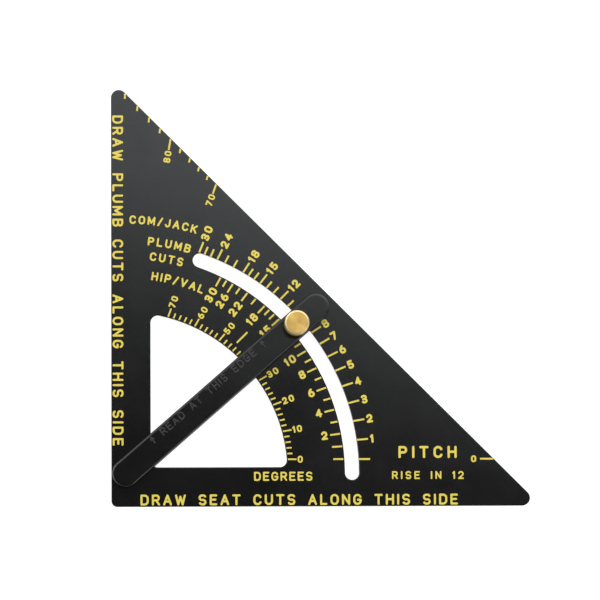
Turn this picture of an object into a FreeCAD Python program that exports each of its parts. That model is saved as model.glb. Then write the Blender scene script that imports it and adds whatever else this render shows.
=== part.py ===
import FreeCAD, Part
import math
import os

# Adjustable roofing square: a triangular plate with printed scales, an index arm that swings
# over its front about a pivot near the right-angle corner, a rear fence bar that swings with
# it, and a brass thumb screw that clamps the two together through an arc slot.
# Millimetres. The tool lies on its fence bar with the scales up: +Z leaves the scale face,
# +X runs along the seat-cut edge, +Y along the plumb-cut edge. The origin is under the middle
# of the plate's outline, at the underside of the fence bar.

V = FreeCAD.Vector
UP = V(0, 0, 1)

# plate outline
LEG = 203.2  # overall length of each leg, 8 in
TIP_R = 3.8  # rounding of the two 45 degree tips
CORNER_R = 2.9  # rounding of the right-angle corner
LEG_SHARP = LEG + TIP_R * math.sqrt(2)  # leg length to the unrounded tip
PLATE_T = 4.0
EDGE_BREAK = 0.25  # chamfer round the outline
OPENING_CHAMFER = 0.45  # chamfer round the window and the slot
BORDER = 19.05  # strip between each leg edge and the window, 3/4 in
PLUMB_X = -LEG / 2  # plane of the plumb-cut edge
SEAT_Y = -LEG / 2  # plane of the seat-cut edge

# pivot, window and slot, all centred on the pivot
PIVOT_X = PLUMB_X + 7.0
PIVOT_Y = SEAT_Y + 16.2
WINDOW_R = 78.3
WINDOW_CORNER_R = 3.5
SLOT_R = 109.65  # centreline of the lock slot
SLOT_W = 6.9
SLOT_END = 70.8  # degrees from the seat-cut direction; the slot starts at 0

# arms
ARM_HALF_W = 6.6
ARM_REACH = 128.9  # pivot to the far end
ARM_T = 3.5
FENCE_T = 8.0
ARM_GAP = 0.25  # between the plate and each arm
ARM_ROUND = 1.0  # rounding of the index arm's upper rim
FENCE_CHAMFER = 0.5
REST_ANGLE = 41.1  # degrees above the seat-cut direction

# heights
FENCE_TOP = FENCE_T
PLATE_Z = FENCE_TOP + ARM_GAP
FACE_Z = PLATE_Z + PLATE_T
ARM_Z = FACE_Z + ARM_GAP
ARM_TOP = ARM_Z + ARM_T

# pivot hardware
BUSH_R = 4.0
BUSH_FIT = 0.03  # radial running clearance in the plate
PIVOT_SCREW_R = 2.0
PIVOT_SCREW_FIT = 0.05
PIVOT_HEAD_R = 3.9
PIVOT_HEAD_RIM = 0.3  # straight rim above the countersink cone
HEAD_RECESS = 0.1
PIVOT_THREAD = 2.3  # screw length inside the index arm
THREAD_FIT = 0.02
SCREW_END_ROOM = 0.3
SCREW_END_CHAMFER = 0.3
HEX_AF = 2.5  # key size of the socket
HEX_DEPTH = 1.3

# lock hardware
SHANK_R = 3.175  # 1/4-20 thumb screw
SHANK_FIT = 0.05
ARM_HOLE_FIT = 0.12
SHANK_END_Z = 1.0
SHANK_CHAMFER = 0.6
WASHER_R = 5.8
WASHER_T = 0.8
WASHER_FIT = 0.08
WASHER_CHAMFER = 0.15
COLLAR_R = 4.9
COLLAR_H = 0.9
KNOB_R = 6.0
KNOB_H = 9.4  # washer to the top of the head
KNOB_CHAMFER = 0.9
KNOB_LOW_CHAMFER = 0.4
KNURL_COUNT = 40
KNURL_DEPTH = 0.32
KNURL_BITE = 0.5  # share of each knurl pitch taken by the groove
INSERT_R = 4.5
INSERT_FLANGE_R = 5.3
INSERT_FLANGE_T = 1.0
INSERT_RECESS = 0.3
INSERT_TOP_ROOM = 0.2

# printed marks
INK_T = 0.1
READ_OFFSET = 6.6  # marks lie this far to the side of the line through the pivot
TICK_W = 0.88
DEGREE_TICK_W = 0.76
COM_BASE = 12.0  # run of a common rafter
HIP_BASE = 16.97  # run of a hip or valley rafter, 12 times root 2
COM_NUMBERED = [30, 24, 18, 15, 12, 10, 9, 8, 7, 6, 5, 4, 3, 2, 1]
COM_LONG = COM_NUMBERED + [0]
COM_SHORT = [28, 26, 22, 20, 17, 16, 14, 13, 11]
HIP_NUMBERED = [30, 26, 22, 18, 15, 12, 10, 8, 6, 4, 2]
HIP_LONG = HIP_NUMBERED + [1, 0]
HIP_SHORT = [28, 24, 20, 17, 16, 14, 13, 11, 9, 7, 5, 3]
COM_R = (113.15, 118.6, 117.05)  # inner end, long end, short end
HIP_R = (105.6, 100.75, 102.15)  # outer end, long end, short end
DEG_R = (78.75, 82.95, 81.25)  # inner end, major end, minor end
DEG_LAST = 70
DEG_STEP = 2
DEG_MAJOR = 10
MITRE_ANGLE = 45
MITRE_R = (83.1, 90.4)
EDGE_LONG = [0, 70, 80]
EDGE_SHORT = [72, 74, 76, 78, 82, 84, 86, 88]
EDGE_INSET = 0.3
EDGE_LONG_DEPTH = 4.8  # square to the sloping edge
EDGE_ZERO_GAP = 1.9  # the 0 stands clear of its mark; the other numbers touch theirs
EDGE_SHORT_DEPTH = 2.15
NUMERAL_CAP = 4.2
COM_NUMERAL_GAP = 1.0
HIP_NUMERAL_GAP = 1.25
DEGREE_CAP = 3.4
DEGREE_GAP = 0.5
NUMERAL_STROKE = 1.02
NUMERAL_SPACING = 1.05  # between digits
DEGREE_STROKE = 0.8
DEGREE_SPACING = 0.85
LEGEND_CAP = 5.3
LEGEND_STROKE = 1.0
LEGEND_INSET = 0.6
SEAT_LEGEND = "DRAW SEAT CUTS ALONG THIS SIDE"
SEAT_LEGEND_X = -87.6
SEAT_LEGEND_LEN = 154.0
PLUMB_LEGEND = "DRAW PLUMB CUTS ALONG THIS SIDE"
PLUMB_LEGEND_Y = 89.0
PLUMB_LEGEND_LEN = 161.0
CAPTION_CAP = 4.2
CAPTION_STROKE = 0.87
# words lettered round the pivot: text, radius of mid height, first and last letter angles
ARC_CAPTIONS = [
    ("COM/JACK", 123.4, 89.1, 73.6),
    ("PLUMB", 113.4, 84.5, 73.8),
    ("CUTS", 106.1, 83.6, 74.7),
    ("HIP/VAL", 96.7, 82.5, 66.9),
]
# straight words: text, x of the left end, height of the baseline above the edge, cap, stroke,
# length
DEGREES_WORD = ("DEGREES", -32.6, 12.35, 4.4, 0.84, 28.4)
PITCH_LINES = [
    ("PITCH", 37.6, 23.2, 5.9, 1.15, 28.4),
    ("RISE IN 12", 34.4, 13.0, 3.9, 0.74, 35.0),
]
WORD_SPACE = 0.6  # width of a space, in cap heights

# raised lettering on the index arm
ARM_TEXT = "^ READ AT THIS EDGE ^"
ARM_TEXT_CAP = 3.8
ARM_TEXT_STROKE = 0.6
ARM_TEXT_H = 0.3
ARM_TEXT_START = 19.0
ARM_TEXT_LEN = 73.0
ARM_TEXT_BASE = 1.4  # baseline above the arm's centreline

# engraving alphabet: width and strokes of each character, for a height of 1 between stroke
# centrelines. A pair is a point; five numbers are an arc (centre x, y, radius, two angles).
# A stroke that ends where it starts is a ring.
R1 = 0.36  # round capitals
R2 = 0.33  # round numerals
GLYPHS = {
    "A": (0.76, [[(0, 0), (0.38, 1), (0.76, 0)], [(0.13, 0.33), (0.63, 0.33)]]),
    "B": (
        0.68,
        [
            [(0, 0.53), (0, 1), (0.42, 1), (0.42, 0.765, 0.235, 90, -90), (0, 0.53)],
            [(0, 0), (0, 0.53), (0.415, 0.53), (0.415, 0.265, 0.265, 90, -90), (0, 0)],
        ],
    ),
    "C": (0.7, [[(R1, 1 - R1, R1, 25, 180), (0, R1), (R1, R1, R1, 180, 335)]]),
    "D": (
        0.7,
        [[(0, 0), (0, 1), (0.34, 1), (0.34, 0.64, 0.36, 90, 0), (0.34, 0.36, 0.36, 0, -90), (0, 0)]],
    ),
    "E": (0.62, [[(0.62, 1), (0, 1), (0, 0), (0.62, 0)], [(0, 0.52), (0.53, 0.52)]]),
    "G": (
        0.72,
        [
            [
                (R1, 1 - R1, R1, 25, 180),
                (0, R1),
                (R1, R1, R1, 180, 360),
                (2 * R1, 0.46),
                (0.42, 0.46),
            ]
        ],
    ),
    "H": (0.7, [[(0, 0), (0, 1)], [(0.7, 0), (0.7, 1)], [(0, 0.52), (0.7, 0.52)]]),
    "I": (0.0, [[(0, 0), (0, 1)]]),
    "J": (0.54, [[(0.54, 1), (0.27, 0.27, 0.27, 0, -165)]]),
    "K": (0.68, [[(0, 0), (0, 1)], [(0.66, 1), (0, 0.4)], [(0.22, 0.6), (0.68, 0)]]),
    "L": (0.58, [[(0, 1), (0, 0), (0.58, 0)]]),
    "M": (0.84, [[(0, 0), (0, 1), (0.42, 0.22), (0.84, 1), (0.84, 0)]]),
    "N": (0.7, [[(0, 0), (0, 1), (0.7, 0), (0.7, 1)]]),
    "O": (0.72, [[(R1, 1 - R1, R1, 0, 180), (R1, R1, R1, 180, 360), (2 * R1, 1 - R1)]]),
    "P": (0.66, [[(0, 0), (0, 1)], [(0, 1), (0.39, 0.73, 0.27, 90, -90), (0, 0.46)]]),
    "R": (
        0.68,
        [
            [(0, 0), (0, 1)],
            [(0, 1), (0.39, 0.73, 0.27, 90, -90), (0, 0.46)],
            [(0.36, 0.46), (0.68, 0)],
        ],
    ),
    "S": (
        0.66,
        [
            [
                (0.4, 0.745, 0.255, 30, 90),
                (0.255, 0.745, 0.255, 90, 270),
                (0.4, 0.245, 0.245, 90, -90),
                (0.255, 0.245, 0.245, -90, -150),
            ]
        ],
    ),
    "T": (0.7, [[(0, 1), (0.7, 1)], [(0.35, 1), (0.35, 0)]]),
    "U": (0.7, [[(0, 1), (0.35, 0.35, 0.35, 180, 360), (0.7, 1)]]),
    "V": (0.74, [[(0, 1), (0.37, 0), (0.74, 1)]]),
    "W": (0.98, [[(0, 1), (0.25, 0), (0.49, 0.86), (0.73, 0), (0.98, 1)]]),
    "/": (0.48, [[(0, -0.04), (0.48, 1.04)]]),
    "^": (0.5, [[(0.25, 0), (0.25, 1)], [(0, 0.58), (0.25, 1), (0.5, 0.58)]]),
    "0": (0.66, [[(R2, 1 - R2, R2, 0, 180), (R2, R2, R2, 180, 360), (2 * R2, 1 - R2)]]),
    "1": (0.19, [[(0, 0.79), (0.19, 1), (0.19, 0)]]),
    "2": (0.66, [[(0.32, 0.69, 0.31, 165, -35), (0, 0), (0.66, 0)]]),
    "3": (
        0.63,
        [
            [(0.27, 0.745, 0.255, 150, 90), (0.36, 0.745, 0.255, 90, -90), (0.18, 0.49)],
            [
                (0.18, 0.49),
                (0.37, 0.245, 0.245, 90, -90),
                (0.25, 0.245, 0.245, -90, -150),
            ],
        ],
    ),
    "4": (0.68, [[(0.49, 0), (0.49, 1)], [(0.49, 1), (0, 0.3), (0.68, 0.3)]]),
    "5": (
        0.66,
        [
            [
                (0.58, 1),
                (0.09, 1),
                (0.05, 0.53),
                (0.3, 0.3, 0.3, 125, 90),
                (0.36, 0.3, 0.3, 90, -90),
                (0.3, 0.3, 0.3, -90, -150),
            ]
        ],
    ),
    "6": (
        0.66,
        [
            [(0.3, 0.3, 0.3, 90, 270), (0.36, 0.3, 0.3, -90, 90), (0.3, 0.6)],
            [(0.77, 0.3, 0.77, 180, 114.5)],
        ],
    ),
    "7": (0.64, [[(0, 1), (0.64, 1), (0.2, 0)]]),
    "8": (
        0.66,
        [
            [(0.26, 0.765, 0.235, 90, 270), (0.4, 0.765, 0.235, -90, 90), (0.26, 1)],
            [(0.265, 0.265, 0.265, 90, 270), (0.395, 0.265, 0.265, -90, 90), (0.265, 0.53)],
        ],
    ),
    "9": (
        0.66,
        [
            [(0.3, 0.7, 0.3, 90, 270), (0.36, 0.7, 0.3, -90, 90), (0.3, 1)],
            [(-0.11, 0.7, 0.77, 0, -65.5)],
        ],
    ),
}


def polar(radius, degrees, centre=(0.0, 0.0), z=0.0):
    a = math.radians(degrees)
    return V(centre[0] + radius * math.cos(a), centre[1] + radius * math.sin(a), z)


def disc(radius, z0, z1, x=0.0, y=0.0):
    return Part.makeCylinder(radius, z1 - z0, V(x, y, z0))


def cone(r0, r1, z0, z1, x=0.0, y=0.0):
    return Part.makeCone(r0, r1, z1 - z0, V(x, y, z0))


def bar_face(a, b, half):
    """A straight bar between two points, with round ends."""
    along = (b - a).normalize()
    side = UP.cross(along) * half
    return Part.Face(
        Part.Wire(
            [
                Part.LineSegment(a - side, b - side).toShape(),
                Part.Arc(b - side, b + along * half, b + side).toShape(),
                Part.LineSegment(b + side, a + side).toShape(),
                Part.Arc(a + side, a - along * half, a - side).toShape(),
            ]
        )
    )


def edges_at(shape, *heights):
    """Edges lying wholly in one of the given horizontal planes."""
    return [
        e
        for e in shape.Edges
        if any(abs(e.BoundBox.ZMin - z) < 1e-6 and abs(e.BoundBox.ZMax - z) < 1e-6 for z in heights)
    ]


def upright_edge(shape, near):
    """The vertical edge closest to a point in plan."""
    upright = [e for e in shape.Edges if e.BoundBox.ZLength > 1e-3]
    return min(upright, key=lambda e: math.hypot(e.BoundBox.XMin - near.x, e.BoundBox.YMin - near.y))


def on_arm(shape):
    """Take a shape drawn along the arm, with the pivot at the origin, to its rest place."""
    out = shape.copy()
    out.rotate(V(0, 0, 0), UP, REST_ANGLE)
    out.translate(V(PIVOT_X, PIVOT_Y, 0))
    return out


# ---------------------------------------------------------------- plate
def plate_blank():
    corner = V(PLUMB_X, SEAT_Y, PLATE_Z)
    top = corner + V(0, LEG_SHARP, 0)
    right = corner + V(LEG_SHARP, 0, 0)
    blank = Part.Face(Part.makePolygon([corner, right, top, corner])).extrude(UP * PLATE_T)
    for point, radius in ((corner, CORNER_R), (right, TIP_R), (top, TIP_R)):
        blank = blank.makeFillet(radius, [upright_edge(blank, point)])
    return blank


def window():
    """The opening between the two strips, closed by an arc about the pivot."""
    left = PLUMB_X + BORDER
    low = SEAT_Y + BORDER
    right_end = PIVOT_X + math.sqrt(WINDOW_R**2 - (low - PIVOT_Y) ** 2)
    top_end = PIVOT_Y + math.sqrt(WINDOW_R**2 - (left - PIVOT_X) ** 2)
    a = V(left, low, PLATE_Z)
    b = V(right_end, low, PLATE_Z)
    c = V(left, top_end, PLATE_Z)
    mid = polar(WINDOW_R, 45, (PIVOT_X, PIVOT_Y), PLATE_Z)
    outline = Part.Wire(
        [
            Part.LineSegment(a, b).toShape(),
            Part.Arc(b, mid, c).toShape(),
            Part.LineSegment(c, a).toShape(),
        ]
    )
    hole = Part.Face(outline).extrude(UP * PLATE_T)
    for point in (a, b, c):
        hole = hole.makeFillet(WINDOW_CORNER_R, [upright_edge(hole, point)])
    return hole


def lock_slot():
    centre = (PIVOT_X, PIVOT_Y)
    half = SLOT_W / 2
    first = polar(SLOT_R, 0, centre, PLATE_Z)
    last = polar(SLOT_R, SLOT_END, centre, PLATE_Z)

    def at(radius, degrees):
        return polar(radius, degrees, centre, PLATE_Z)

    outline = Part.Wire(
        [
            Part.Arc(
                at(SLOT_R + half, 0), at(SLOT_R + half, SLOT_END / 2), at(SLOT_R + half, SLOT_END)
            ).toShape(),
            Part.Arc(
                at(SLOT_R + half, SLOT_END),
                last + polar(half, SLOT_END + 90),
                at(SLOT_R - half, SLOT_END),
            ).toShape(),
            Part.Arc(
                at(SLOT_R - half, SLOT_END), at(SLOT_R - half, SLOT_END / 2), at(SLOT_R - half, 0)
            ).toShape(),
            Part.Arc(at(SLOT_R - half, 0), first + polar(half, -90), at(SLOT_R + half, 0)).toShape(),
        ]
    )
    return Part.Face(outline).extrude(UP * PLATE_T)


def square_plate():
    plate = plate_blank()
    plate = plate.makeChamfer(EDGE_BREAK, edges_at(plate, PLATE_Z, FACE_Z))
    plate = plate.cut(window()).cut(lock_slot())
    rims = []
    for face in plate.Faces:
        if face.BoundBox.ZLength < 1e-6:
            rims += [e for w in face.Wires if not w.isSame(face.OuterWire) for e in w.Edges]
    plate = plate.makeChamfer(OPENING_CHAMFER, rims)
    return plate.cut(disc(BUSH_R + BUSH_FIT, PLATE_Z - 1, FACE_Z + 1, PIVOT_X, PIVOT_Y))


# ---------------------------------------------------------------- lettering
def stroke_wire(path, size, shift):
    """One pen stroke of a character as a wire of lines and arcs."""
    edges, here = [], None
    for step in path:
        if len(step) == 2:
            start = end = V(step[0] * size, step[1] * size, 0) + shift
            arc = None
        else:
            cx, cy, radius, a0, a1 = step
            around = (cx * size + shift.x, cy * size + shift.y)
            start = polar(radius * size, a0, around)
            end = polar(radius * size, a1, around)
            arc = Part.Arc(start, polar(radius * size, (a0 + a1) / 2, around), end)
        if here is not None and (start - here).Length > 1e-6:
            edges.append(Part.LineSegment(here, start).toShape())
        if arc is not None:
            edges.append(arc.toShape())
        here = end
    return Part.Wire(edges)


def stroke_face(wire, half):
    """A stroke thickened to either side, with round ends."""
    if wire.isClosed():
        rims = [wire.makeOffset2D(half), wire.makeOffset2D(-half)]
        return Part.makeFace(rims, "Part::FaceMakerBullseye")
    ends = [v.Point for v in wire.OrderedVertexes]
    if len(ends) == 2 and abs((ends[1] - ends[0]).Length - wire.Length) < 1e-9:
        return bar_face(ends[0], ends[1], half)
    return Part.Face(wire.makeOffset2D(half, 0, False, False, False))


def glyph(char, cap, stroke, height):
    """One character as a solid, its lower left corner at the origin."""
    half = stroke / 2
    parts = [
        stroke_face(stroke_wire(path, cap - stroke, V(half, half, 0)), half).extrude(UP * height)
        for path in GLYPHS[char][1]
    ]
    solid = parts[0]
    for other in parts[1:]:
        solid = solid.fuse(other)
    return solid.removeSplitter() if len(parts) > 1 else solid


def widths(text, cap, stroke):
    return [
        cap * WORD_SPACE if c == " " else GLYPHS[c][0] * (cap - stroke) + stroke for c in text
    ]


def line_of_text(text, cap, stroke, height, gap=None, length=None):
    """Characters set along +X from the origin, and the length of the line. A length given
    instead of a gap spreads the characters to fill it."""
    across = widths(text, cap, stroke)
    if gap is None:
        gap = (length - sum(across)) / (len(text) - 1)
    solids, x = [], 0.0
    for char, width in zip(text, across):
        if char != " ":
            solid = glyph(char, cap, stroke, height)
            solid.translate(V(x, 0, 0))
            solids.append(solid)
        x += width + gap
    return solids, x - gap


def placed(solids, x, y, z, degrees=0.0):
    out = []
    for solid in solids:
        solid = solid.copy()
        solid.rotate(V(0, 0, 0), UP, degrees)
        solid.translate(V(x, y, z))
        out.append(solid)
    return out


def arc_text(text, radius, first, last, cap, stroke):
    """Words read clockwise round the pivot between two angles, tops outward."""
    across = widths(text, cap, stroke)
    run = math.radians(first - last) * radius
    gap = (run - sum(across)) / (len(text) - 1)
    out, travelled = [], 0.0
    for char, width in zip(text, across):
        angle = first - math.degrees((travelled + width / 2) / radius)
        solid = glyph(char, cap, stroke, INK_T)
        solid.translate(V(-width / 2, -cap / 2, 0))
        at = polar(radius, angle, (PIVOT_X, PIVOT_Y))
        out += placed([solid], at.x, at.y, FACE_Z, angle - 90)
        travelled += width + gap
    return out


# ---------------------------------------------------------------- scales
# Every mark lies on the line of the index arm's reading edge, so its line touches a circle of
# about half the arm's width about the pivot.
def reading_line(angle, along, side=0.0):
    """A point on the reading edge of the arm at an angle, a distance along it."""
    a = math.radians(angle)
    off = READ_OFFSET + side
    return V(
        PIVOT_X + along * math.cos(a) - off * math.sin(a),
        PIVOT_Y + along * math.sin(a) + off * math.cos(a),
        FACE_Z,
    )


def along_for(radius):
    return math.sqrt(radius**2 - READ_OFFSET**2)


def tick(angle, start, end, width=TICK_W):
    """A mark along the reading line between two distances."""
    bar = Part.makeBox(abs(end - start), width, INK_T, V(min(start, end), -width / 2, 0))
    bar.rotate(V(0, 0, 0), UP, angle)
    origin = reading_line(angle, 0)
    bar.translate(origin)
    return bar


def numeral(number, angle, along, outward, cap, stroke, gap):
    """A number beside the end of a mark, read along the mark."""
    solids, length = line_of_text(str(number), cap, stroke, INK_T, gap=gap)
    start = along if outward else along - length
    at = reading_line(angle, start, -cap / 2)
    return placed(solids, at.x, at.y, at.z, angle)


def rise_angle(rise, run):
    return math.degrees(math.atan2(rise, run))


def rafter_ticks(run, longs, shorts, radii):
    base, long_end, short_end = (along_for(r) for r in radii)
    return [tick(rise_angle(n, run), base, long_end) for n in longs] + [
        tick(rise_angle(n, run), base, short_end) for n in shorts
    ]


def rafter_numerals(run, numbers, radii, gap):
    outward = radii[1] > radii[0]
    along = along_for(radii[1]) + (gap if outward else -gap)
    out = []
    for n in numbers:
        out += numeral(
            n, rise_angle(n, run), along, outward, NUMERAL_CAP, NUMERAL_STROKE, NUMERAL_SPACING
        )
    return out


def degree_ticks():
    base, major, minor = (along_for(r) for r in DEG_R)
    out = [
        tick(a, base, minor if a % DEG_MAJOR else major, DEGREE_TICK_W)
        for a in range(0, DEG_LAST + 1, DEG_STEP)
    ]
    return out + [tick(MITRE_ANGLE, along_for(MITRE_R[0]), along_for(MITRE_R[1]))]


def degree_numerals():
    along = along_for(DEG_R[1]) + DEGREE_GAP
    out = []
    for a in range(0, DEG_LAST + 1, DEG_MAJOR):
        out += numeral(a, a, along, True, DEGREE_CAP, DEGREE_STROKE, DEGREE_SPACING)
    return out


def edge_mark(angle, depth):
    """Distances along the reading line from the sloping edge down to a depth below it."""
    a = math.radians(angle)
    rate = (math.cos(a) + math.sin(a)) / math.sqrt(2)
    start = reading_line(angle, 0)
    room = (PLUMB_X + SEAT_Y + LEG_SHARP - start.x - start.y) / math.sqrt(2)
    return (room - EDGE_INSET) / rate, (room - depth) / rate


def edge_ticks():
    out = [tick(a, *edge_mark(a, EDGE_LONG_DEPTH)) for a in EDGE_LONG]
    return out + [tick(a, *edge_mark(a, EDGE_SHORT_DEPTH)) for a in EDGE_SHORT]


def edge_numerals():
    out = []
    for a in EDGE_LONG:
        gap = DEGREE_GAP if a else EDGE_ZERO_GAP
        along = edge_mark(a, EDGE_LONG_DEPTH)[1] - gap
        out += numeral(a, a, along, False, DEGREE_CAP, DEGREE_STROKE, DEGREE_SPACING)
    return out


def seat_legend():
    solids, _ = line_of_text(
        SEAT_LEGEND, LEGEND_CAP, LEGEND_STROKE, INK_T, length=SEAT_LEGEND_LEN
    )
    return placed(solids, SEAT_LEGEND_X, SEAT_Y + LEGEND_INSET, FACE_Z)


def plumb_legend():
    solids, _ = line_of_text(
        PLUMB_LEGEND, LEGEND_CAP, LEGEND_STROKE, INK_T, length=PLUMB_LEGEND_LEN
    )
    return placed(solids, PLUMB_X + LEGEND_INSET, PLUMB_LEGEND_Y, FACE_Z, -90)


def straight_words(lines):
    out = []
    for text, x, base, cap, stroke, length in lines:
        solids, _ = line_of_text(text, cap, stroke, INK_T, length=length)
        out += placed(solids, x, SEAT_Y + base, FACE_Z)
    return out


def captions():
    out = straight_words([DEGREES_WORD])
    for text, radius, first, last in ARC_CAPTIONS:
        out += arc_text(text, radius, first, last, CAPTION_CAP, CAPTION_STROKE)
    return out


# ---------------------------------------------------------------- arms and hardware
def arm_blank(z0, z1):
    """Round-ended bar from the pivot out, drawn along +X."""
    outline = bar_face(V(0, 0, z0), V(ARM_REACH - ARM_HALF_W, 0, z0), ARM_HALF_W)
    return outline.extrude(UP * (z1 - z0))


def index_arm():
    arm = arm_blank(ARM_Z, ARM_TOP)
    arm = arm.makeFillet(ARM_ROUND, edges_at(arm, ARM_TOP))
    arm = arm.cut(disc(SHANK_R + ARM_HOLE_FIT, ARM_Z - 1, ARM_TOP + 1, SLOT_R))
    thread_top = ARM_Z + PIVOT_THREAD + SCREW_END_ROOM
    arm = arm.cut(disc(PIVOT_SCREW_R + THREAD_FIT, ARM_Z - 1, thread_top))
    letters, _ = line_of_text(
        ARM_TEXT, ARM_TEXT_CAP, ARM_TEXT_STROKE, 2 * ARM_TEXT_H, length=ARM_TEXT_LEN
    )
    letters = placed(letters, ARM_TEXT_START, ARM_TEXT_BASE, ARM_TOP - ARM_TEXT_H)
    return on_arm(arm.multiFuse(letters).removeSplitter())


def fence_bar():
    bar = arm_blank(0, FENCE_TOP)
    bar = bar.makeChamfer(FENCE_CHAMFER, edges_at(bar, 0))
    # countersink and clearance hole for the pivot screw
    cone_top = HEAD_RECESS + PIVOT_HEAD_RIM + PIVOT_HEAD_R - PIVOT_SCREW_R
    sink_r = PIVOT_HEAD_R + PIVOT_SCREW_FIT
    bar = bar.cut(disc(sink_r, -1, HEAD_RECESS + PIVOT_HEAD_RIM))
    bar = bar.cut(
        cone(sink_r, PIVOT_SCREW_R + PIVOT_SCREW_FIT, HEAD_RECESS + PIVOT_HEAD_RIM, cone_top)
    )
    bar = bar.cut(disc(PIVOT_SCREW_R + PIVOT_SCREW_FIT, cone_top - 0.5, FENCE_TOP + 1))
    # seat for the threaded insert
    bar = bar.cut(disc(INSERT_R, -1, FENCE_TOP + 1, SLOT_R))
    bar = bar.cut(disc(INSERT_FLANGE_R, -1, INSERT_RECESS + INSERT_FLANGE_T, SLOT_R))
    return on_arm(bar)


def pivot_bushing():
    ring = disc(BUSH_R, FENCE_TOP, ARM_Z)
    return on_arm(ring.cut(disc(PIVOT_SCREW_R + PIVOT_SCREW_FIT, FENCE_TOP - 1, ARM_Z + 1)))


def pivot_screw():
    rim_top = HEAD_RECESS + PIVOT_HEAD_RIM
    cone_top = rim_top + PIVOT_HEAD_R - PIVOT_SCREW_R
    body = disc(PIVOT_HEAD_R, HEAD_RECESS, rim_top)
    body = body.fuse(cone(PIVOT_HEAD_R, PIVOT_SCREW_R, rim_top, cone_top))
    body = body.fuse(disc(PIVOT_SCREW_R, cone_top, ARM_Z + PIVOT_THREAD)).removeSplitter()
    body = body.makeChamfer(SCREW_END_CHAMFER, edges_at(body, ARM_Z + PIVOT_THREAD))
    corners = [polar(HEX_AF / math.sqrt(3), 60 * i, z=HEAD_RECESS - 1) for i in range(7)]
    socket = Part.Face(Part.makePolygon(corners)).extrude(UP * (1 + HEX_DEPTH))
    return on_arm(body.cut(socket))


def lock_insert():
    top = FENCE_TOP - INSERT_TOP_ROOM
    flange_top = INSERT_RECESS + INSERT_FLANGE_T
    body = disc(INSERT_R, INSERT_RECESS, top, SLOT_R)
    body = body.fuse(disc(INSERT_FLANGE_R, INSERT_RECESS, flange_top, SLOT_R))
    return on_arm(body.cut(disc(SHANK_R + SHANK_FIT, -1, FENCE_TOP + 1, SLOT_R)))


def thumb_washer():
    ring = disc(WASHER_R, ARM_TOP, ARM_TOP + WASHER_T, SLOT_R)
    ring = ring.makeChamfer(WASHER_CHAMFER, edges_at(ring, ARM_TOP + WASHER_T))
    return on_arm(ring.cut(disc(SHANK_R + WASHER_FIT, ARM_TOP - 1, ARM_TOP + 2, SLOT_R)))


def knurled_outline(z):
    """Closed outline of straight V knurling about the origin."""
    points = []
    pitch = 360.0 / KNURL_COUNT
    land = pitch * (1 - KNURL_BITE) / 2
    for i in range(KNURL_COUNT):
        a = i * pitch
        points.append(polar(KNOB_R, a - land, z=z))
        points.append(polar(KNOB_R, a + land, z=z))
        points.append(polar(KNOB_R - KNURL_DEPTH, a + pitch / 2, z=z))
    return Part.makePolygon(points + points[:1])


def thumb_screw():
    under = ARM_TOP + WASHER_T
    top = under + KNOB_H
    head_z = under + COLLAR_H
    knurl = Part.Face(knurled_outline(head_z)).extrude(UP * (top - head_z))
    rise = top - head_z
    turned = cone(KNOB_R + rise - KNOB_CHAMFER, KNOB_R - KNOB_CHAMFER, head_z, top)
    low_r = KNOB_R - KNOB_LOW_CHAMFER
    turned = turned.common(cone(low_r, low_r + rise, head_z, top))
    screw = knurl.common(turned).fuse(disc(COLLAR_R, under, head_z))
    shank = disc(SHANK_R, SHANK_END_Z, under)
    shank = shank.makeChamfer(SHANK_CHAMFER, edges_at(shank, SHANK_END_Z))
    screw = screw.fuse(shank).removeSplitter()
    screw.translate(V(SLOT_R, 0, 0))
    return on_arm(screw)


NODES = {
    "square_plate": square_plate,
    "index_arm": index_arm,
    "fence_bar": fence_bar,
    "pivot_bushing": pivot_bushing,
    "pivot_screw": pivot_screw,
    "lock_insert": lock_insert,
    "thumb_washer": thumb_washer,
    "thumb_screw": thumb_screw,
    "common_jack_ticks": lambda: rafter_ticks(COM_BASE, COM_LONG, COM_SHORT, COM_R),
    "common_jack_numerals": lambda: rafter_numerals(COM_BASE, COM_NUMBERED, COM_R, COM_NUMERAL_GAP),
    "hip_valley_ticks": lambda: rafter_ticks(HIP_BASE, HIP_LONG, HIP_SHORT, HIP_R),
    "hip_valley_numerals": lambda: rafter_numerals(HIP_BASE, HIP_NUMBERED, HIP_R, HIP_NUMERAL_GAP),
    "degree_ticks": degree_ticks,
    "degree_numerals": degree_numerals,
    "edge_degree_ticks": edge_ticks,
    "edge_degree_numerals": edge_numerals,
    "seat_edge_legend": seat_legend,
    "plumb_edge_legend": plumb_legend,
    "scale_captions": captions,
    "pitch_label": lambda: straight_words(PITCH_LINES),
}

os.makedirs("parts", exist_ok=True)
for name, build in NODES.items():
    shape = build()
    if isinstance(shape, list):
        shape = Part.makeCompound(shape)
    shape.exportStep("parts/%s.step" % name)
    print("%-22s solids %3d  valid %s" % (name, len(shape.Solids), shape.isValid()))
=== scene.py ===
"""Adjustable rafter square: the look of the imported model, on a pale floor in soft studio light."""

import math

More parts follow.
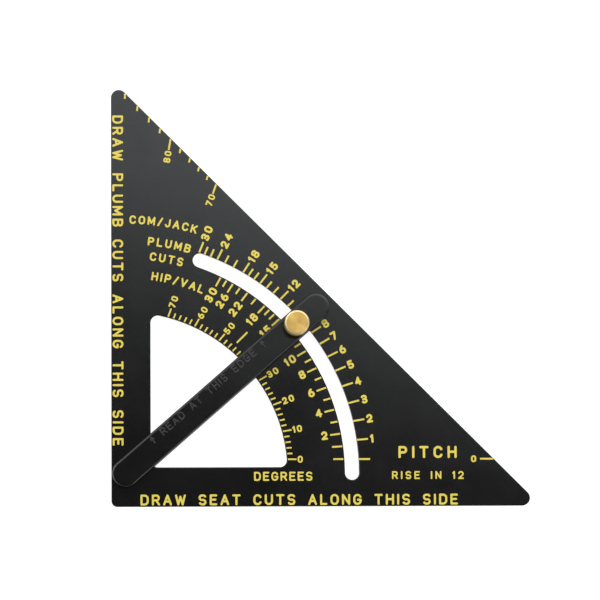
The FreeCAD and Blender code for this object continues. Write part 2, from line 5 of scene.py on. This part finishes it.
import bmesh
import bpy
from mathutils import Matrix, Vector


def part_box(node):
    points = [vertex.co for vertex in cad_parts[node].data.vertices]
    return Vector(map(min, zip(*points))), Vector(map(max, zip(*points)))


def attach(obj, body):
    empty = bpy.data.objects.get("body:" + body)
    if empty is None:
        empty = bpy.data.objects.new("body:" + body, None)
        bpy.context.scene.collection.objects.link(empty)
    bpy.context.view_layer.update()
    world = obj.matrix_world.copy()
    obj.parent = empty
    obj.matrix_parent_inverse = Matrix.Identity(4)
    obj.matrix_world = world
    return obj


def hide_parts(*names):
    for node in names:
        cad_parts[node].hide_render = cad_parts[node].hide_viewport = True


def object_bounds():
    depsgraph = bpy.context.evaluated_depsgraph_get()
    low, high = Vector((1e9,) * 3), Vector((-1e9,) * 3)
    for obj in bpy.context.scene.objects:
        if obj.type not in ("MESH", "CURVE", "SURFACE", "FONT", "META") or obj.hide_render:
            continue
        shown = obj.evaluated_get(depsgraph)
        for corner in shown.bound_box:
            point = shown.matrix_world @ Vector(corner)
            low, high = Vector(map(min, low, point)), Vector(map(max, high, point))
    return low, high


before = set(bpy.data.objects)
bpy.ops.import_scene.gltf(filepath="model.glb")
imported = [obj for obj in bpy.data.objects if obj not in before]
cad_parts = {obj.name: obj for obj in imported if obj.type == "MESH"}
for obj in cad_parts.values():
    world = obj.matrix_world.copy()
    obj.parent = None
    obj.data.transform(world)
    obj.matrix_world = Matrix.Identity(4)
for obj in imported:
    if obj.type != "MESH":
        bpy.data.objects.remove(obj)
CAD_LO, CAD_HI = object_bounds()

MM = 0.001

BLACK = (0.0017, 0.0015, 0.0013)
WORN_BLACK = (0.16, 0.155, 0.15)  # where the coating is thin on an edge
LETTERING_TOP_GREY = (0.026, 0.025, 0.024)  # raised lettering tops painted grey
YELLOW_DULL, YELLOW_BRIGHT = (0.67, 0.535, 0.060), (0.75, 0.605, 0.098)
YELLOW_PIT = (0.34, 0.25, 0.03)
# brass and steel rim colours: handling wear on sharp edges and a painted highlight on sloping rims
BRASS_BRIGHT, BRASS_DULL, BRASS_EDGE_WEAR_AND_HIGHLIGHT = (0.75, 0.51, 0.160), (0.68, 0.41, 0.110), (0.93, 0.79, 0.46)
INSERT_BRIGHT, INSERT_DULL = (0.86, 0.66, 0.34), (0.74, 0.52, 0.24)
STEEL_BRIGHT, STEEL_DULL, STEEL_EDGE_WEAR_AND_HIGHLIGHT = (0.66, 0.66, 0.64), (0.52, 0.52, 0.50), (0.80, 0.80, 0.78)
WASHER_BRIGHT, WASHER_DULL = (0.64, 0.64, 0.62), (0.5, 0.5, 0.48)
WHITE, COOL_WHITE = (1.0, 1.0, 1.0), (0.94, 0.98, 1.0)
FLOOR_GREY = (0.30, 0.30, 0.30, 1.0)


# ---------------------------------------------------------------- node helpers

def is_socket(value):
    return isinstance(value, bpy.types.NodeSocket)


def feed(tree, socket, value):
    """Links a socket's value in, or sets a constant."""
    if is_socket(value):
        tree.links.new(value, socket)
    else:
        socket.default_value = value


def add(tree, kind, inputs=None, **settings):
    """Adds a shader node with its settings and inputs."""
    node = tree.nodes.new(kind)
    for key, value in settings.items():
        setattr(node, key, value)
    for key, value in (inputs or {}).items():
        feed(tree, node.inputs[key], value)
    return node


def noise(tree, where, scale, detail, roughness):
    return add(tree, "ShaderNodeTexNoise",
               {"Vector": where, "Scale": scale, "Detail": detail,
                "Roughness": roughness}).outputs["Fac"]


def remap(tree, value, low, high, to_low, to_high):
    return add(tree, "ShaderNodeMapRange",
               {"Value": value, "From Min": low, "From Max": high, "To Min": to_low,
                "To Max": to_high}).outputs["Result"]


def math_node(tree, operation, first, second=0.5):
    return add(tree, "ShaderNodeMath", {0: first, 1: second}, operation=operation).outputs[0]


def blend_colour(tree, amount, first, second):
    first, second = (c if is_socket(c) else (*c, 1.0) for c in (first, second))
    factor, colour_a, colour_b, colour_out = 0, 6, 7, 2  # the Mix node's sockets when it mixes colours
    return add(tree, "ShaderNodeMix", {factor: amount, colour_a: first, colour_b: second},
               data_type="RGBA").outputs[colour_out]


def rounded_normal(tree, radius, samples=6):
    return add(tree, "ShaderNodeBevel", {"Radius": radius}, samples=samples).outputs["Normal"]


def edge_mask(tree, radius):
    """1 along sharp edges and 0 on flat faces, from how far a rounded normal is from the real one."""
    flat = add(tree, "ShaderNodeNewGeometry").outputs["Normal"]
    same = add(tree, "ShaderNodeVectorMath", {0: rounded_normal(tree, radius), 1: flat},
               operation="DOT_PRODUCT").outputs["Value"]
    off_edge, on_edge = 0.02, 0.25
    return remap(tree, math_node(tree, "SUBTRACT", 1.0, same), off_edge, on_edge, 0.0, 1.0)


def bump(tree, height, distance, strength, normal):
    return add(tree, "ShaderNodeBump", {"Height": height, "Distance": distance,
                                        "Strength": strength, "Normal": normal}).outputs["Normal"]


def material(name):
    """An empty material: its tree, its object coordinates, its shader."""
    mat = bpy.data.materials.new(name)
    mat.use_nodes = True
    tree = mat.node_tree
    tree.nodes.clear()
    shader = add(tree, "ShaderNodeBsdfPrincipled")
    add(tree, "ShaderNodeOutputMaterial", {"Surface": shader.outputs[0]})
    where = add(tree, "ShaderNodeTexCoord").outputs["Object"]
    return mat, tree, where, shader


def plug(tree, shader, **inputs):
    """Links or sets the shader's inputs; an underscore stands for a space in an input's name."""
    for key, value in inputs.items():
        feed(tree, shader.inputs[key.replace("_", " ")], value)


# ---------------------------------------------------------------- materials

def black_coat(name, grain, base, rough, edge_radius, grey_above=None):
    """Satin black baked coating: fine orange peel, faint rub marks, thin on sharp edges.
    Raised lettering above the given height is painted grey, in patches."""
    mat, tree, where, shader = material(name)
    peel = noise(tree, where, grain, 2.0, 0.55)
    cloud = noise(tree, where, 42.0, 4.0, 0.6)
    rub_direction, rub_stretch = math.radians(33), (30.0, 900.0, 30.0)
    streak_space = add(tree, "ShaderNodeMapping",
                       {"Vector": where, "Rotation": (0.0, 0.0, rub_direction),
                        "Scale": rub_stretch}).outputs["Vector"]
    streaks = remap(tree, noise(tree, streak_space, 1.0, 3.0, 0.65), 0.62, 0.78, 0.0, 1.0)
    edge_patches = remap(tree, noise(tree, where, 520.0, 4.0, 0.7), 0.5, 0.72, 0.0, 1.0)
    edges = math_node(tree, "MULTIPLY", edge_mask(tree, edge_radius), edge_patches)
    darker, lighter = tuple(0.8 * c for c in base), tuple(1.25 * c for c in base)
    tone = blend_colour(tree, cloud, darker, lighter)
    colour = blend_colour(tree, math_node(tree, "MULTIPLY", edges, 0.5), tone, WORN_BLACK)
    uneven, polish = 0.025, -0.03  # changes of roughness over the coat and on a rub mark
    gloss = math_node(tree, "ADD", remap(tree, cloud, 0.3, 0.7, rough - uneven, rough + uneven),
                      math_node(tree, "MULTIPLY", streaks, polish))
    if grey_above is not None:
        # raised lettering tops painted a patchy grey and made duller
        height = add(tree, "ShaderNodeSeparateXYZ", {0: where}).outputs["Z"]
        rub = math_node(tree, "MULTIPLY", math_node(tree, "GREATER_THAN", height, grey_above),
                        remap(tree, noise(tree, where, 700.0, 3.0, 0.6), 0.3, 0.6, 0.35, 1.0))
        colour = blend_colour(tree, rub, colour, LETTERING_TOP_GREY)
        lettering_top_dullness = 0.2
        gloss = math_node(tree, "ADD", gloss, math_node(tree, "MULTIPLY", rub, lettering_top_dullness))
    rounded = rounded_normal(tree, 0.5 * edge_radius)
    peel_depth = 0.010 * MM
    plug(tree, shader, Base_Color=colour, Roughness=gloss,
         Normal=bump(tree, peel, peel_depth, 0.9, rounded))
    return mat


def enamel(name):
    """Yellow screen-printed enamel: slightly uneven film with pinholes and soft edges."""
    mat, tree, where, shader = material(name)
    cloud = noise(tree, where, 160.0, 4.0, 0.6)
    speck = noise(tree, where, 2600.0, 2.0, 0.5)
    film = blend_colour(tree, cloud, YELLOW_DULL, YELLOW_BRIGHT)
    pits = remap(tree, speck, 0.66, 0.74, 0.0, 0.55)
    colour = blend_colour(tree, pits, film, YELLOW_PIT)
    soft_edge, pit_depth = 0.08 * MM, 0.01 * MM
    rounded = rounded_normal(tree, soft_edge, samples=4)
    plug(tree, shader, Base_Color=colour, Roughness=remap(tree, cloud, 0.3, 0.7, 0.38, 0.52),
         Normal=bump(tree, speck, pit_depth, 0.5, rounded))
    return mat


def turned_metal(name, axis, bright, dull, rim, rough, edge_radius):
    """Metal turned on a lathe about a vertical axis: fine rings, stains in the hollows, sharp edges
    handled bright, and sloping rims painted pale as a highlight."""
    mat, tree, where, shader = material(name)
    centred = add(tree, "ShaderNodeVectorMath", {0: where, 1: (*axis, 0.0)},
                  operation="SUBTRACT").outputs[0]
    planar = add(tree, "ShaderNodeVectorMath", {0: centred, 1: (1.0, 1.0, 0.0)},
                 operation="MULTIPLY").outputs[0]
    radius = add(tree, "ShaderNodeVectorMath", {0: planar}, operation="LENGTH").outputs["Value"]
    height = add(tree, "ShaderNodeSeparateXYZ", {0: where}).outputs["Z"]
    along = math_node(tree, "ADD", radius, height)
    rings = add(tree, "ShaderNodeTexNoise", {"W": along, "Scale": 5200.0, "Detail": 3.0},
                noise_dimensions="1D").outputs["Fac"]
    stain = noise(tree, where, 330.0, 4.0, 0.6)
    slope = add(tree, "ShaderNodeSeparateXYZ",
                {0: add(tree, "ShaderNodeTexCoord").outputs["Normal"]}).outputs["Z"]
    highlight_slope = 0.75  # the upward part of a sloping rim's normal
    off_slope = math_node(tree, "ABSOLUTE", math_node(tree, "SUBTRACT", slope, highlight_slope))
    # painted highlight: rims that slope this way are painted pale all round, standing in for the
    # bright surroundings they reflect
    sloping = remap(tree, off_slope, 0.1, 0.22, 1.0, 0.0)
    # handling wear: sharp edges rubbed bright
    sharp = math_node(tree, "MULTIPLY", edge_mask(tree, edge_radius), 0.6)
    edges = math_node(tree, "MAXIMUM", sharp, sloping)
    tone = blend_colour(tree, remap(tree, stain, 0.35, 0.65, 0.0, 1.0), dull, bright)
    # rim colour: handling wear on sharp edges, painted highlight on sloping rims
    tone = blend_colour(tree, math_node(tree, "MULTIPLY", edges, 0.9), tone, rim)
    gloss = math_node(tree, "ADD", remap(tree, stain, 0.3, 0.7, rough + 0.06, rough - 0.04),
                      math_node(tree, "MULTIPLY", rings, 0.08))
    rounded = rounded_normal(tree, 0.4 * edge_radius)
    around = add(tree, "ShaderNodeTangent", direction_type="RADIAL", axis="Z").outputs[0]
    ring_depth = 0.006 * MM
    plug(tree, shader, Base_Color=tone, Roughness=gloss, Metallic=1.0, Anisotropic=0.9,
         Anisotropic_Rotation=0.25, Tangent=around,
         Normal=bump(tree, rings, ring_depth, 0.6, rounded))
    return mat


# ---------------------------------------------------------------- turned pieces

def centre_of(node):
    lo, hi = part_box(node)
    return (lo.x + hi.x) / 2, (lo.y + hi.y) / 2


def lathe(name, axis, rows, steps):
    """A closed turned solid from (height, radius) rows, top first. A radius may be a function
    of the angle."""
    shape = bmesh.new()
    rings = []
    for height, radius in rows:
        ring = []
        for step in range(steps):
            angle = 2 * math.pi * step / steps
            r = radius(angle) if callable(radius) else radius
            x, y = axis[0] + r * math.cos(angle), axis[1] + r * math.sin(angle)
            ring.append(shape.verts.new((x, y, height)))
        rings.append(ring)
    for upper, lower in zip(rings, rings[1:]):
        for step in range(steps):
            after = (step + 1) % steps
            shape.faces.new((upper[step], lower[step], lower[after], upper[after]))
    for ring, height in ((rings[0], rows[0][0]), (rings[-1], rows[-1][0])):
        hub = shape.verts.new((*axis, height))
        for step in range(steps):
            shape.faces.new((ring[step], ring[(step + 1) % steps], hub))
    bmesh.ops.recalc_face_normals(shape, faces=shape.faces)
    mesh = bpy.data.meshes.new(name)
    shape.to_mesh(mesh)
    shape.free()
    mesh.shade_smooth()
    sharpest_smooth = math.radians(32)
    mesh.set_sharp_from_angle(angle=sharpest_smooth)
    piece = bpy.data.objects.new(name, mesh)
    bpy.context.scene.collection.objects.link(piece)
    flatten = piece.modifiers.new("flat_faces_stay_flat", "WEIGHTED_NORMAL")
    flatten.keep_sharp = True
    return piece


def triangle_wave(turns):
    """0 at a whole number of turns and 1 half-way between two."""
    return 1 - abs(2 * (turns % 1.0) - 1)


def chamfered_rim(top, radius, width, fall, ease):
    """Rows of a sloping rim with eased corners, from the face out to the side."""
    return [(top, radius - width - ease), (top - 0.3 * ease, radius - width),
            (top - ease, radius - width + 0.7 * ease), (top - fall + 0.7 * ease, radius - ease),
            (top - fall, radius - 0.3 * ease), (top - fall - ease, radius)]


def thumb_screw():
    """The knurled head, collar and threaded shank, in one piece."""
    lo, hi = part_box("thumb_screw")
    axis = centre_of("thumb_screw")
    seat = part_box("thumb_washer")[1].z
    head_r = (hi.x - lo.x) / 2
    shank_r = 3.1 * MM
    collar_r = 4.9 * MM
    knurls, knurl_deep = 48, 0.30 * MM
    pitch, thread_deep = 1.27 * MM, 0.42 * MM
    rim_width, rim_fall = 0.78 * MM, 0.62 * MM
    collar_height = 0.9 * MM
    head_low = seat + collar_height
    steps_per_knurl, rows_per_turn = 6, 8

    def ridged(radius, depth, flatness, turns):
        """The radius of a ridge; a flatness above 1 cuts the ridge's crest flat."""
        return radius - depth * (1 - min(1.0, flatness * triangle_wave(turns)))

    def knurl(radius, share):
        return lambda angle: ridged(radius, share * knurl_deep, 1.35, angle * knurls / (2 * math.pi))

    def thread(height, radius, share):
        return lambda angle: ridged(radius, share * thread_deep, 1.15,
                                    height / pitch - angle / (2 * math.pi))

    rows = [(hi.z, 0.4 * MM), (hi.z, 2.5 * MM), (hi.z, head_r - rim_width - 0.3 * MM)]
    rim = chamfered_rim(hi.z, head_r, rim_width, rim_fall, ease=0.12 * MM)
    knurl_shares = (0, 0, 0, 0.6, 0.9, 1.0)
    rows += [(height, knurl(radius, share)) for (height, radius), share in zip(rim, knurl_shares)]
    rows += [(head_low + 0.45 * MM, knurl(head_r, 1.0)),
             (head_low + 0.12 * MM, knurl(head_r - 0.28 * MM, 0.5)), (head_low, head_r - 0.55 * MM),
             (head_low, collar_r + 0.25 * MM), (head_low - 0.07 * MM, collar_r + 0.07 * MM),
             (head_low - 0.25 * MM, collar_r), (seat + 0.15 * MM, collar_r),
             (seat, collar_r - 0.15 * MM), (seat, shank_r + 0.1 * MM), (seat - 0.2 * MM, shank_r)]
    top, bottom = seat - 0.8 * MM, lo.z
    point_length, point_inset = 0.7 * MM, 0.6 * MM
    count = int((top - bottom) / pitch * rows_per_turn)
    for k in range(count + 1):
        height = top + (bottom - top) * k / count
        share = min(1.0, k / rows_per_turn)
        end = max(0.0, 1 - (height - bottom) / point_length)
        rows.append((height, thread(height, shank_r - point_inset * end, share * (1 - 0.7 * end))))
    piece = lathe("brass_thumb_screw", axis, rows, steps_per_knurl * knurls)
    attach(piece, "thumb_screw")
    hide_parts("thumb_screw")
    return piece


# ---------------------------------------------------------------- dress the model

GREY_TOP_DEPTH = 0.1 * MM  # how far the grey paint reaches down from the lettering's top
plate_black = black_coat("plate_black", 2100.0, BLACK, 0.173, 0.35 * MM)
arm_black = black_coat("arm_black", 2400.0, BLACK, 0.18, 0.4 * MM,
                       grey_above=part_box("index_arm")[1].z - GREY_TOP_DEPTH)
yellow = enamel("scale_yellow")
brass = turned_metal("turned_brass", centre_of("thumb_screw"), BRASS_BRIGHT, BRASS_DULL,
                     BRASS_EDGE_WEAR_AND_HIGHLIGHT, 0.33, 0.3 * MM)
insert_brass = turned_metal("insert_brass", centre_of("lock_insert"), INSERT_BRIGHT, INSERT_DULL,
                            BRASS_EDGE_WEAR_AND_HIGHLIGHT, 0.3, 0.25 * MM)
steel = turned_metal("zinc_steel", centre_of("pivot_screw"), STEEL_BRIGHT, STEEL_DULL,
                     STEEL_EDGE_WEAR_AND_HIGHLIGHT, 0.28, 0.2 * MM)
washer_steel = turned_metal("washer_steel", centre_of("thumb_washer"), WASHER_BRIGHT, WASHER_DULL,
                            STEEL_EDGE_WEAR_AND_HIGHLIGHT, 0.3, 0.2 * MM)

BY_SLOT = {"plate_coating": plate_black, "arm_coating": arm_black, "scale_enamel": yellow,
           "steel": steel, "brass": insert_brass}
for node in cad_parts.values():
    node.data.materials[0] = BY_SLOT[node.data.materials[0].name]
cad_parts["thumb_washer"].data.materials[0] = washer_steel

thumb_screw().data.materials.append(brass)


# ---------------------------------------------------------------- floor, light, camera

def floor():
    half_size, gap = 4.0, 0.05 * MM
    shape = bmesh.new()
    bmesh.ops.create_grid(shape, x_segments=2, y_segments=2, size=half_size)
    mesh = bpy.data.meshes.new("floor")
    shape.to_mesh(mesh)
    shape.free()
    ground = bpy.data.objects.new("floor", mesh)
    ground.location.z = CAD_LO.z - gap
    bpy.context.scene.collection.objects.link(ground)
    mat, tree, _, shader = material("pale_floor")
    plug(tree, shader, Base_Color=FLOOR_GREY, Roughness=0.9, Emission_Color=(*WHITE, 1.0),
         Emission_Strength=0.96)
    ground.data.materials.append(mat)


def softbox(name, place, width, height, radiance, tint=WHITE):
    """A soft rectangular light that faces the middle of the object."""
    light = bpy.data.lights.new(name, "AREA")
    light.color = tint
    light.shape = "RECTANGLE"
    light.size, light.size_y = width, height
    light.energy = radiance * width * height * math.pi
    lamp = bpy.data.objects.new(name, light)
    lamp.location = place
    lamp.rotation_euler = (-Vector(place)).to_track_quat("-Z", "Y").to_euler()
    bpy.context.scene.collection.objects.link(lamp)


def studio():
    """White surroundings, dark overhead and brighter on one side, and three soft lights."""
    world = bpy.data.worlds.new("studio")
    world.use_nodes = True
    tree = world.node_tree
    tree.nodes.clear()
    direction = add(tree, "ShaderNodeTexCoord").outputs["Generated"]
    upward = add(tree, "ShaderNodeSeparateXYZ", {0: direction}).outputs["Z"]
    towards_bright = (-0.5, 0.87, 0.0)
    side = add(tree, "ShaderNodeVectorMath", {0: direction, 1: towards_bright},
               operation="DOT_PRODUCT").outputs["Value"]
    low_glow, overhead_glow = 1.15, 0.15
    glow = add(tree, "ShaderNodeMapRange",
               {"Value": upward, "From Min": 0.4, "From Max": 0.92, "To Min": low_glow,
                "To Max": overhead_glow}, interpolation_type="SMOOTHSTEP").outputs["Result"]
    dark_side, bright_side = 0.25, 1.15
    glow = math_node(tree, "MULTIPLY", glow, remap(tree, side, -0.6, 0.6, dark_side, bright_side))
    back = add(tree, "ShaderNodeBackground", {"Strength": glow, "Color": (*WHITE, 1.0)})
    add(tree, "ShaderNodeOutputWorld", {"Surface": back.outputs[0]})
    bpy.context.scene.world = world
    softbox("top_light", (0.26, 0.80, 1.25), width=2.0, height=1.6, radiance=1.93, tint=COOL_WHITE)
    softbox("left_light", (-1.1, 0.60, 0.75), width=0.9, height=0.8, radiance=2.1)
    softbox("right_light", (0.85, -0.75, 0.85), width=0.8, height=0.8, radiance=2.4)


def camera():
    data = bpy.data.cameras.new("camera")
    data.lens = 246.66
    eye = bpy.data.objects.new("camera", data)
    eye.location = (-0.1166, -0.1748, 2.0018)
    eye.rotation_euler = (math.radians(4.993), math.radians(-3.045), math.radians(-0.306))
    data.clip_start, data.clip_end = 0.05, 20.0
    bpy.context.scene.collection.objects.link(eye)
    bpy.context.scene.camera = eye


floor()
studio()
camera()
bpy.context.scene.view_settings.view_transform = "Standard"
